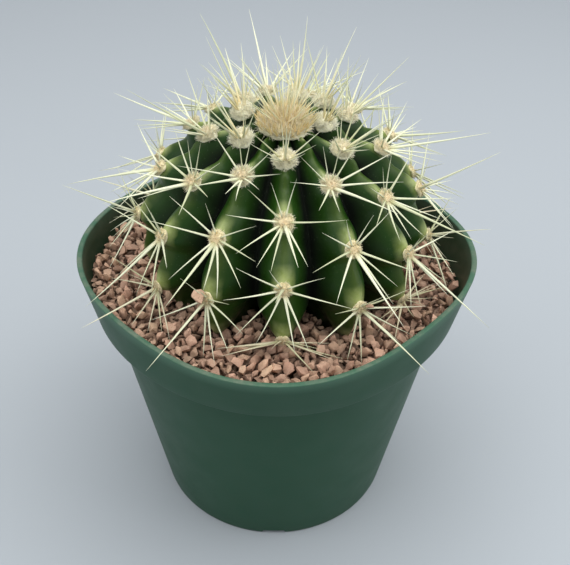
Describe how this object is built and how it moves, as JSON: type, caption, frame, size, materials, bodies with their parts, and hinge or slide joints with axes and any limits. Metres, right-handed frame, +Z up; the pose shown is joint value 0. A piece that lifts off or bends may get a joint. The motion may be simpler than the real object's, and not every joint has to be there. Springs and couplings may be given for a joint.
{
  "type": "potted golden barrel cactus",
  "caption": "Small round ribbed cactus with felt pads and long straight spines, in a tapered round-cornered plastic nursery pot dressed with stone grit.",
  "frame": {"origin": "centre of the foot ring, on the surface that the pot stands on", "axes": "+Z up along the pot's axis, -Y towards the front drain notch, rim corners on X and Y"},
  "size_m": [0.1188, 0.1184, 0.1498],
  "materials": {
    "pot_plastic": "deep green moulded polypropylene, semi-matte, with a slight sheen on the lip",
    "grit_stone": "dry angular crushed stone, pink to tan, dull",
    "potting_mix": "dark gritty potting mix, dull and crumbly",
    "cactus_skin": "waxy plant skin, dark green in the valleys, paler and yellower on the rib crests",
    "felt_and_spines": "cream wool felt with straight pale yellow horny spines"
  },
  "bodies": {
    "root": {"cactus_body": "cactus_skin", "crown_tuft": "felt_and_spines", "grit": "grit_stone", "pot": "pot_plastic", "potting_mix": "potting_mix", "spines_rib01_1": "felt_and_spines", "spines_rib01_2": "felt_and_spines", "spines_rib01_3": "felt_and_spines", "spines_rib01_4": "felt_and_spines", "spines_rib02_1": "felt_and_spines", "spines_rib02_2": "felt_and_spines", "spines_rib02_3": "felt_and_spines", "spines_rib03_1": "felt_and_spines", "spines_rib03_2": "felt_and_spines", "spines_rib03_3": "felt_and_spines", "spines_rib03_4": "felt_and_spines", "spines_rib04_1": "felt_and_spines", "spines_rib04_2": "felt_and_spines", "spines_rib04_3": "felt_and_spines", "spines_rib04_4": "felt_and_spines", "spines_rib05_1": "felt_and_spines", "spines_rib05_2": "felt_and_spines", "spines_rib05_3": "felt_and_spines", "spines_rib05_4": "felt_and_spines", "spines_rib06_1": "felt_and_spines", "spines_rib06_2": "felt_and_spines", "spines_rib06_3": "felt_and_spines", "spines_rib06_4": "felt_and_spines", "spines_rib07_1": "felt_and_spines", "spines_rib07_2": "felt_and_spines", "spines_rib07_3": "felt_and_spines", "spines_rib07_4": "felt_and_spines", "spines_rib08_1": "felt_and_spines", "spines_rib08_2": "felt_and_spines", "spines_rib08_3": "felt_and_spines", "spines_rib09_1": "felt_and_spines", "spines_rib09_2": "felt_and_spines", "spines_rib09_3": "felt_and_spines", "spines_rib09_4": "felt_and_spines", "spines_rib10_1": "felt_and_spines", "spines_rib10_2": "felt_and_spines", "spines_rib10_3": "felt_and_spines", "spines_rib10_4": "felt_and_spines", "spines_rib11_1": "felt_and_spines", "spines_rib11_2": "felt_and_spines", "spines_rib11_3": "felt_and_spines", "spines_rib12_1": "felt_and_spines", "spines_rib12_2": "felt_and_spines", "spines_rib12_3": "felt_and_spines", "spines_rib12_4": "felt_and_spines", "spines_rib13_1": "felt_and_spines", "spines_rib13_2": "felt_and_spines", "spines_rib13_3": "felt_and_spines"}
  },
  "joints": []
}
